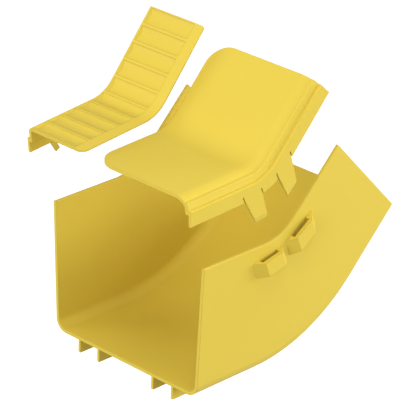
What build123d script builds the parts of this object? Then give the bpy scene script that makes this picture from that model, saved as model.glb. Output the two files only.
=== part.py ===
from build123d import *
import os
from math import cos, radians, sin, sqrt, tan

# Fibre raceway elbow: an open channel that bends upwards by 45 degrees, and its clip-on split cover.
# The origin is on the floor's underside at the middle of the level end, +Y runs into the channel, +Z is up.
# Both covers stand lifted clear of the channel and tipped a little, as when the raceway is opened.

# Channel
channel_height = 102.0
channel_top_width = 153.0
channel_floor_width = 145.0
channel_wall = 2.6
channel_floor = 2.8
channel_corner_radius = 10.0
rim_rounding = 0.7
leg_length = 61.0
bend_radius = 141.5
bend_angle = 45.0

# Ribs under the floor, in two pairs that form the bracket tracks
track_centre = 38.0
track_width = 20.0
rib_depth = 10.0
rib_thickness = 2.2

# Covers
cover_thickness = 2.4
cover_rise = 12.0
cover_end_inset = 1.0
narrow_roll_radius = 3.0
skirt_drop = 8.2
skirt_thickness = 2.0
skirt_step = 2.4
skirt_gap = 0.5
rim_gap = 0.3
bead_height = 3.1
bead_rounding = 0.8
seam_place = -18.6
seam_gap = 5.2
wide_corner_radius = 18.0
narrow_front_corner_radius = 6.0
narrow_rear_corner_radius = 2.5

# Stepped shoulder of the wide cover: a rolled slope, a ledge and a drafted face down to the bead
shoulder_slope = 44.0
shoulder_length = 4.8
shoulder_radius = 11.0
shoulder_ledge = 2.5
shoulder_ledge_fall = 0.2
shoulder_ledge_rounding = 0.8
shoulder_draft = 1.1

# Tabs on the cover skirts
tab_spread = 16.6
tab_root_width = 16.0
tab_tip_width = 11.0
tab_length = 21.0
tab_overlap = 1.0
tab_bevel_length = 4.0
tab_bevel_depth = 1.0
tab_slit_width = 1.0
tab_slit_depth = 5.0

# Pockets on the outside of both walls, which take the tabs
pocket_gap = 1.4
pocket_slope = 11.2
pocket_height = 12.5
pocket_shell = 3.0
pocket_flank_slope = 45.0
pocket_side_clearance = 0.5
pocket_front_clearance = 0.5
pocket_rear_clearance = 0.7

# Panels of the narrow cover, and the strip whose top falls from them to the seam
panel_count = 10
panel_land = 2.4
panel_hollow = 1.5
panel_rim = 0.4
panel_run_out_slope = 45.0
seam_strip_width = 8.0
seam_strip_fall = 1.6

# Fingers on the narrow cover's skirt, one near each end
finger_place = 22.0
finger_width = 4.0
finger_length = 11.0
finger_lean = 26.0

# How far each cover is raised and drawn back at the lift point, and the angle by which it is tipped
lift_point_along = 80.0
lift_point_height = 120.0
wide_cover_rise = 49.4
wide_cover_setback = 19.3
wide_cover_tip = 2.6
narrow_cover_rise = 59.8
narrow_cover_setback = 25.8
narrow_cover_tip = 5.9

# Places that follow from the sizes above
half_top = channel_top_width / 2
half_floor = channel_floor_width / 2
half_bend = radians(bend_angle / 2)
bend_centre = Vector(0, leg_length, bend_radius)
bend_axis = Axis(bend_centre, (1, 0, 0))
along_rise = Vector(0, cos(radians(bend_angle)), sin(radians(bend_angle)))
along_bisector = Vector(0, sin(half_bend), -cos(half_bend))
across_bisector = Vector(0, cos(half_bend), sin(half_bend))
bend_start = Plane.XZ.offset(-leg_length)
rise_foot = Vector(0, leg_length + bend_radius * along_rise.Z, bend_radius * (1 - along_rise.Y))
rise_start = Plane(origin=rise_foot, x_dir=(1, 0, 0), z_dir=-along_rise)
cover_top = channel_height + cover_rise
cover_underside = cover_top - cover_thickness
ledge_underside = channel_height + rim_gap
bead_top = ledge_underside + bead_height
skirt_bottom = channel_height - skirt_drop
skirt_inside = half_top + skirt_gap
skirt_outside = skirt_inside + skirt_thickness
roll_outside = skirt_outside - skirt_step
roll_inside = roll_outside - cover_thickness
cover_straight = leg_length - cover_end_inset
skirt_radius = bend_radius - skirt_bottom
cover_top_radius = bend_radius - cover_top
pocket_reach = skirt_gap + skirt_thickness + pocket_side_clearance + pocket_shell
pocket_root = abs(half_top - half_floor) + channel_wall
tab_places = (-tab_spread, tab_spread)
lift_point = Vector(0, lift_point_along, lift_point_height)
wide_cover_shift = Vector(0, -wide_cover_setback, wide_cover_rise)
narrow_cover_shift = Vector(0, -narrow_cover_setback, narrow_cover_rise)


def skirt_edge(place):
    """How far the skirt's lower edge lies from the bend's axis, along the bisector, at a place across it."""
    if abs(place) < skirt_radius * sin(half_bend):
        return sqrt(skirt_radius**2 - place**2)
    return (skirt_radius - abs(place) * sin(half_bend)) / cos(half_bend)


def run_along_elbow(draw_section, end_inset=0.0, mode=Mode.ADD):
    """Carries a section along the level leg, round the bend and up the rising leg."""
    straight = leg_length - end_inset
    extrude(draw_section(bend_start), amount=straight, mode=mode)
    revolve(draw_section(bend_start), axis=bend_axis, revolution_arc=bend_angle, mode=mode)
    extrude(draw_section(rise_start), amount=-straight, mode=mode)


def channel_section(plane):
    """U-shaped wall and floor, with the ribs of both tracks below the floor."""
    slant = (half_top - half_floor) / channel_height
    inner_floor = half_floor + slant * channel_floor - channel_wall
    inner_top = half_top - channel_wall
    with BuildSketch(plane) as section:
        with BuildLine():
            Polyline(
                (-half_top, channel_height),
                (-half_floor, 0),
                (half_floor, 0),
                (half_top, channel_height),
                (inner_top, channel_height),
                (inner_floor, channel_floor),
                (-inner_floor, channel_floor),
                (-inner_top, channel_height),
                close=True,
            )
        make_face()
        fillet(section.vertices().group_by(Axis.Y)[-1], rim_rounding)
        fillet(section.vertices().group_by(Axis.Y)[1], channel_corner_radius - channel_wall)
        fillet(section.vertices().group_by(Axis.Y)[0], channel_corner_radius)
        rib_places = [
            (side * (track_centre + edge * track_width / 2), (channel_floor - rib_depth) / 2)
            for side in (-1, 1)
            for edge in (-1, 1)
        ]
        with Locations(*rib_places):
            Rectangle(rib_thickness, rib_depth + channel_floor)
    return section.sketch


def between_wall_middles(plane):
    """Space between the middles of both walls, which trims the roots of what stands on their outside."""
    sink = channel_wall / 2
    with BuildSketch(plane) as section:
        with BuildLine():
            Polyline(
                (sink - half_top, channel_height),
                (sink - half_floor, 0),
                (half_floor - sink, 0),
                (half_top - sink, channel_height),
                close=True,
            )
        make_face()
    return section.sketch


def cover_section(plane, side, outer_line, inner_line, roundings):
    """Sheet between its outer and inner line, with a ledge that sits on the rim, a bead and a skirt."""
    outline = [
        *outer_line,
        (roll_outside, bead_top),
        (skirt_outside, bead_top),
        (skirt_outside, skirt_bottom),
        (skirt_inside, skirt_bottom),
        (skirt_inside, ledge_underside),
        (roll_inside, ledge_underside),
        *inner_line,
    ]
    with BuildSketch(plane) as section:
        with BuildLine():
            Polyline(*[(side * x, z) for x, z in outline], close=True)
        make_face()
        for (x, z), radius in [*roundings, ((skirt_outside, bead_top), bead_rounding)]:
            fillet(section.vertices().sort_by_distance((side * x, z))[0], radius)
    return section.sketch


def wide_cover_section(plane):
    """Section of the wide cover, with a plain free edge at the seam and a stepped shoulder."""
    slope = radians(shoulder_slope)
    free_edge = seam_place + seam_gap / 2
    face_top = roll_outside - shoulder_draft
    slope_foot = face_top - shoulder_ledge
    slope_foot_height = cover_top - shoulder_length * sin(slope)
    ledge_height = slope_foot_height - shoulder_ledge_fall
    crest = slope_foot - shoulder_length * cos(slope)
    inner_crest = crest - cover_thickness * tan(slope / 2)
    outer_line = [
        (free_edge, cover_underside),
        (free_edge, cover_top),
        (crest, cover_top),
        (slope_foot, slope_foot_height),
        (face_top, ledge_height),
    ]
    inner_line = [
        (roll_inside - shoulder_draft, ledge_height - cover_thickness),
        (inner_crest, cover_underside),
    ]
    roundings = [
        ((crest, cover_top), shoulder_radius),
        ((face_top, ledge_height), shoulder_ledge_rounding),
        ((inner_crest, cover_underside), shoulder_radius - cover_thickness),
    ]
    return cover_section(plane, 1, outer_line, inner_line, roundings)


def narrow_cover_section(plane):
    """Section of the narrow cover, with a rolled shoulder and a strip that thins towards the seam."""
    free_edge = seam_gap / 2 - seam_place
    strip_start = free_edge + seam_strip_width
    outer_line = [
        (free_edge, cover_underside),
        (free_edge, cover_top - seam_strip_fall),
        (strip_start, cover_top),
        (roll_outside, cover_top),
    ]
    inner_line = [(roll_inside, cover_underside)]
    roundings = [
        ((roll_outside, cover_top), narrow_roll_radius),
        ((roll_inside, cover_underside), narrow_roll_radius - cover_thickness),
    ]
    return cover_section(plane, -1, outer_line, inner_line, roundings)


def round_free_corners(cover, free_edge, front_radius, rear_radius):
    """Rounds the two corners of a cover's sheet at its free edge."""
    edges = cover.edges().filter_by_position(Axis.X, free_edge - seam_gap / 4, free_edge + seam_gap / 4)
    across_rise = Axis((0, 0, 0), along_rise.cross(Vector(1, 0, 0)))
    fillet(edges.filter_by(across_rise), rear_radius)
    fillet(edges.filter_by(Axis.Z), front_radius)


def skirt_plane(side):
    """Plane of a skirt's face on the -X side: X across the bisector, Y up along it, from the bend's axis."""
    face = skirt_inside if side > 0 else -skirt_outside
    return Plane(origin=bend_centre + Vector(face, 0, 0), x_dir=across_bisector, z_dir=(1, 0, 0))


def add_tabs(side):
    """Cuts a slit on each side of both tabs into the skirt, then adds the tapered tabs below it."""
    slit_place = (tab_root_width + tab_slit_width) / 2
    slits = [place + end * slit_place for place in tab_places for end in (-1, 1)]
    with BuildSketch(skirt_plane(side)) as slit_cuts:
        with Locations(*[(place, -skirt_edge(place)) for place in slits]):
            Rectangle(tab_slit_width, 2 * tab_slit_depth)
    extrude(slit_cuts.sketch, amount=skirt_thickness, mode=Mode.SUBTRACT)
    for place in tab_places:
        front, rear = place - tab_root_width / 2, place + tab_root_width / 2
        tip_front, tip_rear = place - tab_tip_width / 2, place + tab_tip_width / 2
        with BuildSketch(skirt_plane(side)) as tab:
            with BuildLine():
                Polyline(
                    (front, tab_overlap - skirt_edge(front)),
                    (rear, tab_overlap - skirt_edge(rear)),
                    (tip_rear, -skirt_edge(tip_rear) - tab_length),
                    (tip_front, -skirt_edge(tip_front) - tab_length),
                    close=True,
                )
            make_face()
        extrude(tab.sketch, amount=skirt_thickness)
        tip_drop = skirt_edge(tip_rear) - skirt_edge(tip_front)
        tip_reach = skirt_edge(tip_rear) + tab_length
        along_tip = across_bisector * tab_tip_width + along_bisector * tip_drop
        tip_end = bend_centre + across_bisector * tip_rear + along_bisector * tip_reach
        # The bevel's cut starts one tip width past the tab and ends as far on its other side
        with BuildSketch(Plane(tip_end + along_tip, x_dir=(1, 0, 0), z_dir=-along_tip)) as bevel:
            with BuildLine():
                Polyline(
                    (side * skirt_outside, 0),
                    (side * skirt_outside, tab_bevel_length),
                    (side * (skirt_outside - tab_bevel_depth), 0),
                    close=True,
                )
            make_face()
        extrude(bevel.sketch, amount=3 * along_tip.length, mode=Mode.SUBTRACT)


def add_pockets(side):
    """Two raised pockets with slanted flanks on a wall's outside, each with a slot next to the wall."""
    for place in tab_places:
        drop = skirt_edge(place) + pocket_gap
        middle = bend_centre + across_bisector * place + along_bisector * drop
        slope = radians(pocket_slope) * (1 if place < 0 else -1)
        along_slot = across_bisector * cos(slope) + along_bisector * sin(slope)
        outward = Vector(side, 0, 0)
        plane = Plane(
            origin=middle + outward * half_top,
            x_dir=along_slot,
            z_dir=along_slot.cross(outward),
        )
        root_flank = (pocket_reach + pocket_root) * tan(radians(pocket_flank_slope))
        face_front = -tab_root_width / 2 - pocket_front_clearance
        face_rear = tab_root_width / 2 + pocket_rear_clearance
        with BuildSketch(plane) as shell:
            with BuildLine():
                Polyline(
                    (face_front, pocket_reach),
                    (face_rear, pocket_reach),
                    (face_rear + root_flank, -pocket_root),
                    (face_front - root_flank, -pocket_root),
                    close=True,
                )
            make_face()
            with Locations(((face_front + face_rear) / 2, -pocket_root)):
                Rectangle(
                    face_rear - face_front,
                    pocket_reach - pocket_shell + pocket_root,
                    align=(Align.CENTER, Align.MIN),
                    mode=Mode.SUBTRACT,
                )
        extrude(shell.sketch, amount=pocket_height, dir=along_bisector)


def lift_axis(shift, tip):
    """Axis about which turning by the tip angle gives the shift at the lift point."""
    reach = shift.length / 2 / tan(radians(tip) / 2)
    towards_axis = Vector(0, -shift.Z, shift.Y).normalized()
    return Axis(lift_point + shift / 2 + towards_axis * reach, (1, 0, 0))


def run_out_section(plane):
    """Wedge along the narrow cover's roll, which keeps a slope at the outer end of every scoop."""
    outer_edge = narrow_roll_radius - roll_outside
    rise = cover_thickness * tan(radians(panel_run_out_slope))
    with BuildSketch(plane) as section:
        with BuildLine():
            Polyline(
                (outer_edge - cover_thickness, cover_top + rise),
                (outer_edge + cover_thickness, cover_top - rise),
                (outer_edge - cover_thickness, cover_top - rise),
                close=True,
            )
        make_face()
    return section.sketch


def add_scoops(inner_edge, outer_edge):
    """Row of shapes that hollow rimmed scoops out of the narrow cover's top, with lands between them."""
    bend_length = cover_top_radius * radians(bend_angle)
    pitch = (2 * cover_straight + bend_length) / panel_count
    half_width = (pitch - panel_land) / 2
    for count in range(panel_count):
        distance = (count + 0.5) * pitch - cover_straight
        turn = min(max(distance / bend_length, 0), 1) * radians(bend_angle)
        ahead = Vector(0, cos(turn), sin(turn))
        away = Vector(0, -sin(turn), cos(turn))
        run = min(distance, 0) + max(distance - bend_length, 0)
        bend_curvature = 0 if run else 1 / cover_top_radius
        rim_height = half_width**2 * bend_curvature / 2 - panel_rim
        clear_height = rim_height + cover_thickness
        middle = bend_centre - away * cover_top_radius + ahead * run
        with BuildSketch(Plane(middle + Vector(outer_edge, 0, 0), x_dir=ahead, z_dir=(1, 0, 0))) as scoop:
            with BuildLine():
                ThreePointArc((-half_width, rim_height), (0, -panel_hollow), (half_width, rim_height))
                Polyline(
                    (half_width, rim_height),
                    (half_width, clear_height),
                    (-half_width, clear_height),
                    (-half_width, rim_height),
                )
            make_face()
        extrude(scoop.sketch, amount=inner_edge - outer_edge)


def add_fingers(side):
    """Two small fingers below the skirt, near its ends, alike on both sides of the bisector."""
    root = Vector(0, finger_place, skirt_bottom + finger_width / 2) - bend_centre
    with BuildSketch(skirt_plane(side)) as fingers:
        root_place = (root.dot(across_bisector), -root.dot(along_bisector))
        with Locations(Location(root_place, finger_lean - bend_angle / 2)):
            Rectangle(finger_width, finger_length, align=(Align.CENTER, Align.MAX))
        mirror(about=Plane.YZ)
    extrude(fingers.sketch, amount=skirt_thickness)


# Pockets of both walls, with their roots in the middle of the wall
with BuildPart() as pockets:
    add_pockets(1)
    add_pockets(-1)
    run_along_elbow(between_wall_middles, mode=Mode.SUBTRACT)

# Channel, open at the top and at both ends
with BuildPart() as channel:
    run_along_elbow(channel_section)
    add(pockets.part)
channel.part.label = "channel"

# Wide cover as it sits on the right-hand wall
with BuildPart() as seated_wide_cover:
    run_along_elbow(wide_cover_section, cover_end_inset)
    wide_free_edge = seam_place + seam_gap / 2
    round_free_corners(seated_wide_cover, wide_free_edge, wide_corner_radius, wide_corner_radius)
    add_tabs(1)

# Hollows of the narrow cover's panels
narrow_free_edge = seam_place - seam_gap / 2
with BuildPart() as scoops:
    add_scoops(narrow_free_edge - seam_strip_width, narrow_roll_radius - roll_outside)
    run_along_elbow(run_out_section, mode=Mode.SUBTRACT)

# Narrow cover as it sits on the left-hand wall
with BuildPart() as seated_narrow_cover:
    run_along_elbow(narrow_cover_section, cover_end_inset)
    add(scoops.part, mode=Mode.SUBTRACT)
    round_free_corners(
        seated_narrow_cover, narrow_free_edge, narrow_front_corner_radius, narrow_rear_corner_radius
    )
    add_tabs(-1)
    add_fingers(-1)

# Both covers in their lifted places
with BuildPart() as wide_cover:
    add(seated_wide_cover.part.rotate(lift_axis(wide_cover_shift, wide_cover_tip), wide_cover_tip))
wide_cover.part.label = "wide_cover"

with BuildPart() as narrow_cover:
    add(seated_narrow_cover.part.rotate(lift_axis(narrow_cover_shift, narrow_cover_tip), narrow_cover_tip))
narrow_cover.part.label = "narrow_cover"

os.makedirs("parts", exist_ok=True)
export_step(channel.part, "parts/channel.step")
export_step(wide_cover.part, "parts/wide_cover.step")
export_step(narrow_cover.part, "parts/narrow_cover.step")
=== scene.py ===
"""Looks of the fibre raceway elbow: its moulded plastic, and the stage, light and camera around it."""
import math

import bpy
from bpy.props import FloatProperty, FloatVectorProperty, PointerProperty
from bpy.types import NodeSocket, Operator, Panel, PropertyGroup
from mathutils import Matrix, Vector


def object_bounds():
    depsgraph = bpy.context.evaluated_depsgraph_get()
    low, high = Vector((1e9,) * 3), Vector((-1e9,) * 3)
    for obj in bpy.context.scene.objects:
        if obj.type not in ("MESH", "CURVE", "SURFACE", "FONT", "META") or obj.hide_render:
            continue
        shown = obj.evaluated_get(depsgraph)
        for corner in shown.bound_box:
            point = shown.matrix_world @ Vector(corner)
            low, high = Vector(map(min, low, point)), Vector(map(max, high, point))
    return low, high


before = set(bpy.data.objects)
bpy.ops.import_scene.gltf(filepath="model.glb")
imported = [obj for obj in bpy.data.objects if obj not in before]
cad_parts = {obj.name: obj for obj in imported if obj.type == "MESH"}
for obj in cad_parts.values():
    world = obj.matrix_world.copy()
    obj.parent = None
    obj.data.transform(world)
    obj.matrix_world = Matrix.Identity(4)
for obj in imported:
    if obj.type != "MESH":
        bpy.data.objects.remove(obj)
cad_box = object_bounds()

bl_info = {
    "name": "Raceway Elbow Looks",
    "version": (1, 0, 0),
    "blender": (4, 5, 0),
    "location": "3D View > Sidebar > Raceway",
    "description": "Finishes a packed raceway elbow in moulded plastic and sets up its studio",
    "category": "Object",
}

MM = 0.001

# Number of ever finer layers of noise, in the clouds and patches and in the grain
SOFT_DETAIL = 2.0
GRAIN_DETAIL = 3.0

# Agreement of a face's own normal with the rounded one where the painted edge shade starts and where it is
# full
EDGE_SHADE_START = 0.99
EDGE_SHADE_FULL = 0.8

# Number of rays with which a point feels for an edge near it
EDGE_SAMPLES = 6

# Name, azimuth to the right of the level end and elevation in degrees, and power in watts
SOFT_BOXES = (
    ("left_box", -50, 12, 9.6),
    ("front_box", 20, 12, 12.5),
    ("right_box", 105, 12, 12.2),
    ("rear_box", 150, 12, 21.3),
    ("high_front_box", 0, 40, 8.0),
    ("top_box", 60, 70, 9.5),
)


def linear_colour(hex_colour):
    """Linear RGBA of an sRGB hex colour."""
    parts = [int(hex_colour[place:place + 2], 16) / 255 for place in (1, 3, 5)]
    return [part / 12.92 if part <= 0.04045 else ((part + 0.055) / 1.055) ** 2.4 for part in parts] + [1.0]


class PlasticSettings(PropertyGroup):
    """Colours and surface of the moulded plastic."""

    colour: FloatVectorProperty(
        name="Colour",
        description="Main colour of the plastic",
        default=linear_colour("#D8C04B"),
        size=4,
        subtype="COLOR",
    )
    deep_colour: FloatVectorProperty(
        name="Deep colour",
        description="Colour of the slightly deeper clouds left by the melt's flow",
        default=linear_colour("#D5BB44"),
        size=4,
        subtype="COLOR",
    )
    # Painted shade: a darker colour along edges and creases that stands in for their shading
    edge_shade_colour: FloatVectorProperty(
        name="Edge colour",
        description="Darker colour along edges and creases, which outlines the lands, tabs and steps",
        default=linear_colour("#B89E38"),
        size=4,
        subtype="COLOR",
    )
    cloud_size: FloatProperty(
        name="Cloud size",
        description="Width of the colour clouds",
        default=70 * MM,
        subtype="DISTANCE",
        unit="LENGTH",
    )
    patch_size: FloatProperty(
        name="Patch size",
        description="Width of the patches of more and less sheen",
        default=18 * MM,
        subtype="DISTANCE",
        unit="LENGTH",
    )
    grain_size: FloatProperty(
        name="Grain size",
        description="Width of the fine grain that the mould leaves",
        default=0.8 * MM,
        subtype="DISTANCE",
        unit="LENGTH",
    )
    grain_depth: FloatProperty(
        name="Grain depth",
        description="Depth of the fine grain",
        default=0.012 * MM,
        subtype="DISTANCE",
        unit="LENGTH",
    )
    edge_radius: FloatProperty(
        name="Edge radius",
        description="Rounding that moulded edges show in the light",
        default=0.5 * MM,
        subtype="DISTANCE",
        unit="LENGTH",
    )
    refraction: FloatProperty(
        name="Refractive index",
        description="Index of refraction, typical of a hard plastic",
        default=1.5,
        min=1.0,
    )
    sheen: FloatProperty(
        name="Sheen",
        description="How strongly the plastic mirrors the light",
        default=0.12,
        min=0.0,
        max=1.0,
    )
    roughness: FloatProperty(
        name="Roughness",
        description="Mean roughness of the plastic",
        default=0.46,
        min=0.1,
        max=0.9,
    )
    roughness_spread: FloatProperty(
        name="Roughness spread",
        description="How far the patches' roughness goes to either side of the mean",
        default=0.08,
        min=0.0,
        max=0.1,
    )


class StageSettings(PropertyGroup):
    """Floor, surroundings and light."""

    floor_colour: FloatVectorProperty(
        name="Floor colour",
        description="Colour of the pale floor where it is seen or mirrored",
        default=linear_colour("#FAFAFA"),
        size=4,
        subtype="COLOR",
    )
    floor_bounce_colour: FloatVectorProperty(
        name="Floor bounce colour",
        description="Colour with which the floor lights the fitting from below",
        default=linear_colour("#959595"),
        size=4,
        subtype="COLOR",
    )
    floor_drop: FloatProperty(
        name="Floor drop",
        description="How far the floor lies below the fitting, which is held by its level end",
        default=0.2,
        subtype="DISTANCE",
        unit="LENGTH",
    )
    floor_glow: FloatProperty(
        name="Floor glow",
        description="Light that the floor adds where it is seen or mirrored, so that it looks white",
        default=0.2,
        min=0.0,
    )
    floor_size: FloatProperty(
        name="Floor size",
        description="Length of the floor's sides",
        default=30.0,
        subtype="DISTANCE",
        unit="LENGTH",
    )
    surroundings_colour: FloatVectorProperty(
        name="Surroundings colour",
        description="Colour of the light from all around",
        default=linear_colour("#FFFFFF"),
        size=4,
        subtype="COLOR",
    )
    surroundings: FloatProperty(
        name="Surroundings",
        description="Strength of the light from all around",
        default=0.55,
        min=0.0,
    )
    box_size: FloatProperty(
        name="Soft box size",
        description="Side of each soft box",
        default=0.8,
        subtype="DISTANCE",
        unit="LENGTH",
    )
    box_distance: FloatProperty(
        name="Soft box distance",
        description="Distance of each soft box from the fitting's middle",
        default=2.0,
        subtype="DISTANCE",
        unit="LENGTH",
    )


class CameraSettings(PropertyGroup):
    """Camera at the photograph's viewing angle."""

    target: FloatVectorProperty(
        name="Target",
        description="Point that the middle of the picture shows",
        default=(-1.1 * MM, 83.8 * MM, 94.5 * MM),
        subtype="XYZ",
        unit="LENGTH",
    )
    azimuth: FloatProperty(
        name="Azimuth",
        description="Turn of the camera to the right around the fitting",
        default=math.radians(44.07),
        subtype="ANGLE",
        unit="ROTATION",
    )
    elevation: FloatProperty(
        name="Elevation",
        description="Height of the camera above the level, as an angle",
        default=math.radians(24.72),
        subtype="ANGLE",
        unit="ROTATION",
    )
    roll: FloatProperty(
        name="Roll",
        description="Turn of the camera about its own line of sight",
        default=math.radians(1.72),
        subtype="ANGLE",
        unit="ROTATION",
    )
    distance: FloatProperty(
        name="Distance",
        description="Distance from the camera to its target",
        default=1.9454,
        subtype="DISTANCE",
        unit="LENGTH",
    )
    lens: FloatProperty(
        name="Lens",
        description="Focal length in millimetres, for a sensor 36 mm wide",
        default=230.99,
        min=1.0,
    )


def new_tree(owner):
    """The emptied node tree of a material or a world."""
    owner.use_nodes = True
    owner.node_tree.nodes.clear()
    return owner.node_tree


def add_node(tree, kind, inputs, **settings):
    """Adds a node, sets its inputs or links them to other nodes' outputs, and returns its own outputs."""
    node = tree.nodes.new(kind)
    for name, value in settings.items():
        setattr(node, name, value)
    for name, value in inputs.items():
        if isinstance(value, NodeSocket):
            tree.links.new(value, node.inputs[name])
        else:
            node.inputs[name].default_value = value
    return node.outputs


def nearness_to_edge(tree, rounded):
    """1 along edges and 0 on open faces: near an edge the rounded normal leaves the face's own."""
    face = add_node(tree, "ShaderNodeNewGeometry", {})["Normal"]
    normals = {0: rounded, 1: face}
    agreement = add_node(tree, "ShaderNodeVectorMath", normals, operation="DOT_PRODUCT")["Value"]
    edge_range = {"Value": agreement, "From Min": EDGE_SHADE_START, "From Max": EDGE_SHADE_FULL}
    return add_node(tree, "ShaderNodeMapRange", edge_range)["Result"]


def plastic_colour(tree, place, rounded, settings):
    """Yellow with faint clouds of a deeper one, and a painted shade along the edges and creases."""
    clouds = {"Vector": place, "Scale": 1 / settings.cloud_size, "Detail": SOFT_DETAIL}
    cloud_share = add_node(tree, "ShaderNodeTexNoise", clouds)["Fac"]
    clouded = {"Fac": cloud_share, "Color1": settings.deep_colour, "Color2": settings.colour}
    body_colour = add_node(tree, "ShaderNodeMixRGB", clouded)["Color"]
    # Painted shade near edges and creases, where the rounded normal leaves the face's own
    edge_shade_share = nearness_to_edge(tree, rounded)
    shade_edged = {"Fac": edge_shade_share, "Color1": body_colour, "Color2": settings.edge_shade_colour}
    return add_node(tree, "ShaderNodeMixRGB", shade_edged)["Color"]


def plastic_roughness(tree, place, settings):
    """Roughness that changes a little from patch to patch."""
    patches = {"Vector": place, "Scale": 1 / settings.patch_size, "Detail": SOFT_DETAIL}
    patch_share = add_node(tree, "ShaderNodeTexNoise", patches)["Fac"]
    rough_range = {
        "Value": patch_share,
        "To Min": settings.roughness - settings.roughness_spread,
        "To Max": settings.roughness + settings.roughness_spread,
    }
    return add_node(tree, "ShaderNodeMapRange", rough_range)["Result"]


def grained_normal(tree, place, rounded, settings):
    """Normal of the mould's grain, over edges that look rounded."""
    # The real grain is too fine to show in a picture, so it is drawn several times as coarse
    grain = {"Vector": place, "Scale": 1 / settings.grain_size, "Detail": GRAIN_DETAIL}
    height = add_node(tree, "ShaderNodeTexNoise", grain)["Fac"]
    bump = {"Height": height, "Distance": settings.grain_depth, "Normal": rounded}
    return add_node(tree, "ShaderNodeBump", bump)["Normal"]


def moulded_abs(settings):
    """Yellow ABS, injection moulded."""
    # Dyed plastic looks even and opaque, the mould leaves it a broad soft sheen, and edges get a painted
    # shade
    material = bpy.data.materials.new("moulded_yellow_abs")
    tree = new_tree(material)
    place = add_node(tree, "ShaderNodeTexCoord", {})["Object"]
    edge = {"Radius": settings.edge_radius}
    rounded = add_node(tree, "ShaderNodeBevel", edge, samples=EDGE_SAMPLES)["Normal"]
    surface = {
        "Base Color": plastic_colour(tree, place, rounded, settings),
        "IOR": settings.refraction,
        "Specular IOR Level": settings.sheen,
        "Roughness": plastic_roughness(tree, place, settings),
        "Normal": grained_normal(tree, place, rounded, settings),
    }
    shader = add_node(tree, "ShaderNodeBsdfPrincipled", surface)["BSDF"]
    add_node(tree, "ShaderNodeOutputMaterial", {"Surface": shader})
    return material


def pale_floor(settings):
    """Pale matt floor, white where it is seen or mirrored, that lights the fitting less than it looks."""
    material = bpy.data.materials.new("pale_floor")
    tree = new_tree(material)
    rays = add_node(tree, "ShaderNodeLightPath", {})
    seen = rays["Is Camera Ray"]
    for mirrored in ("Is Glossy Ray", "Is Transmission Ray"):
        either = {0: seen, 1: rays[mirrored]}
        seen = add_node(tree, "ShaderNodeMath", either, operation="MAXIMUM")["Value"]

    colours = {"Fac": seen, "Color1": settings.floor_bounce_colour, "Color2": settings.floor_colour}
    matt_colour = add_node(tree, "ShaderNodeMixRGB", colours)["Color"]
    matt = add_node(tree, "ShaderNodeBsdfDiffuse", {"Color": matt_colour})["BSDF"]
    glow_range = {"Value": seen, "To Max": settings.floor_glow}
    strength = add_node(tree, "ShaderNodeMapRange", glow_range)["Result"]
    light = {"Color": settings.floor_colour, "Strength": strength}
    glow = add_node(tree, "ShaderNodeEmission", light)["Emission"]
    both = add_node(tree, "ShaderNodeAddShader", {0: matt, 1: glow})["Shader"]
    add_node(tree, "ShaderNodeOutputMaterial", {"Surface": both})
    return material


def even_surroundings(settings):
    """World that lights the fitting evenly from all around."""
    world = bpy.data.worlds.new("even_surroundings")
    tree = new_tree(world)
    light = {"Color": settings.surroundings_colour, "Strength": settings.surroundings}
    background = add_node(tree, "ShaderNodeBackground", light)["Background"]
    add_node(tree, "ShaderNodeOutputWorld", {"Surface": background})
    return world


def dress(node_name, material):
    """Puts a material on every slot of a CAD node."""
    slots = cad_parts[node_name].material_slots
    if not slots:
        raise RuntimeError(f"{node_name} has no material slot to dress")
    for slot in slots:
        slot.material = material


def looking_back(azimuth, elevation):
    """Direction from what is looked at to the one who looks."""
    across = math.cos(elevation)
    return Vector((math.sin(azimuth) * across, -math.cos(azimuth) * across, math.sin(elevation)))


def lay_floor(settings):
    """Lays the floor under the fitting."""
    floor_height = cad_box[0][2] - settings.floor_drop
    bpy.ops.object.select_all(action="DESELECT")
    bpy.ops.mesh.primitive_plane_add(size=settings.floor_size, location=(0, 0, floor_height))
    floor = bpy.context.active_object
    floor.name = "floor"
    floor.data.materials.append(pale_floor(settings))


def hang_soft_boxes(settings):
    """Hangs the soft boxes around the fitting's middle, each facing it."""
    middle = sum((Vector(corner) for corner in cad_box), Vector()) / 2
    for name, azimuth, elevation, power in SOFT_BOXES:
        back = looking_back(math.radians(azimuth), math.radians(elevation))
        bpy.ops.object.light_add(
            type="AREA",
            location=middle + back * settings.box_distance,
            rotation=back.to_track_quat("Z", "Y").to_euler(),
        )
        box = bpy.context.active_object
        box.name = name
        box.data.energy = power
        box.data.size = settings.box_size


class RACEWAY_OT_finish(Operator):
    """Gives the channel and both covers their moulded plastic"""

    bl_idname = "raceway.finish"
    bl_label = "Finish the fitting"

    def execute(self, context):
        plastic = moulded_abs(context.scene.raceway_plastic)
        for node_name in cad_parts:
            dress(node_name, plastic)
        return {"FINISHED"}


class RACEWAY_OT_stage(Operator):
    """Lays the floor under the fitting and lights it softly from all around"""

    bl_idname = "raceway.stage"
    bl_label = "Set the stage"

    def execute(self, context):
        settings = context.scene.raceway_stage
        lay_floor(settings)
        hang_soft_boxes(settings)
        context.scene.world = even_surroundings(settings)
        context.scene.view_settings.view_transform = "Standard"
        return {"FINISHED"}


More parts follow.
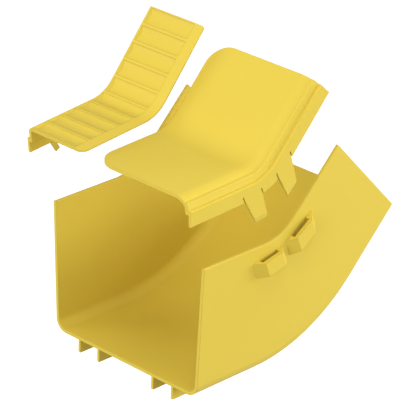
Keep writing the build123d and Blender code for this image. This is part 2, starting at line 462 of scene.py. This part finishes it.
class RACEWAY_OT_camera(Operator):
    """Sets up the camera at the photograph's viewing angle"""

    bl_idname = "raceway.camera"
    bl_label = "Place the camera"

    def execute(self, context):
        settings = context.scene.raceway_camera
        back = looking_back(settings.azimuth, settings.elevation)
        level = Vector((math.cos(settings.azimuth), math.sin(settings.azimuth), 0))
        right = level * math.cos(settings.roll) + back.cross(level) * math.sin(settings.roll)
        turn = Matrix((right, back.cross(right), back)).transposed()
        bpy.ops.object.camera_add(
            location=Vector(settings.target) + back * settings.distance,
            rotation=turn.to_euler(),
        )
        camera = context.active_object
        camera.name = "photo_camera"
        camera.data.lens = settings.lens
        context.scene.camera = camera
        return {"FINISHED"}


class RACEWAY_PT_looks(Panel):
    """Settings and steps of the raceway elbow's looks"""

    bl_idname = "RACEWAY_PT_looks"
    bl_label = "Raceway elbow"
    bl_space_type = "VIEW_3D"
    bl_region_type = "UI"
    bl_category = "Raceway"

    def draw(self, context):
        steps = (
            (context.scene.raceway_plastic, RACEWAY_OT_finish),
            (context.scene.raceway_stage, RACEWAY_OT_stage),
            (context.scene.raceway_camera, RACEWAY_OT_camera),
        )
        for settings, operator in steps:
            box = self.layout.box()
            for name in settings.__annotations__:
                box.prop(settings, name)
            box.operator(operator.bl_idname)


CLASSES = (
    PlasticSettings,
    StageSettings,
    CameraSettings,
    RACEWAY_OT_finish,
    RACEWAY_OT_stage,
    RACEWAY_OT_camera,
    RACEWAY_PT_looks,
)


def register():
    """Registers the classes and hangs their settings on the scene."""
    for each in CLASSES:
        bpy.utils.register_class(each)
    bpy.types.Scene.raceway_plastic = PointerProperty(type=PlasticSettings)
    bpy.types.Scene.raceway_stage = PointerProperty(type=StageSettings)
    bpy.types.Scene.raceway_camera = PointerProperty(type=CameraSettings)


def unregister():
    """Takes the settings off the scene and unregisters the classes."""
    del bpy.types.Scene.raceway_camera
    del bpy.types.Scene.raceway_stage
    del bpy.types.Scene.raceway_plastic
    for each in reversed(CLASSES):
        bpy.utils.unregister_class(each)


def main():
    """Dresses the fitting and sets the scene."""
    register()
    bpy.ops.raceway.finish()
    bpy.ops.raceway.stage()
    bpy.ops.raceway.camera()


if __name__ == "__main__":
    main()
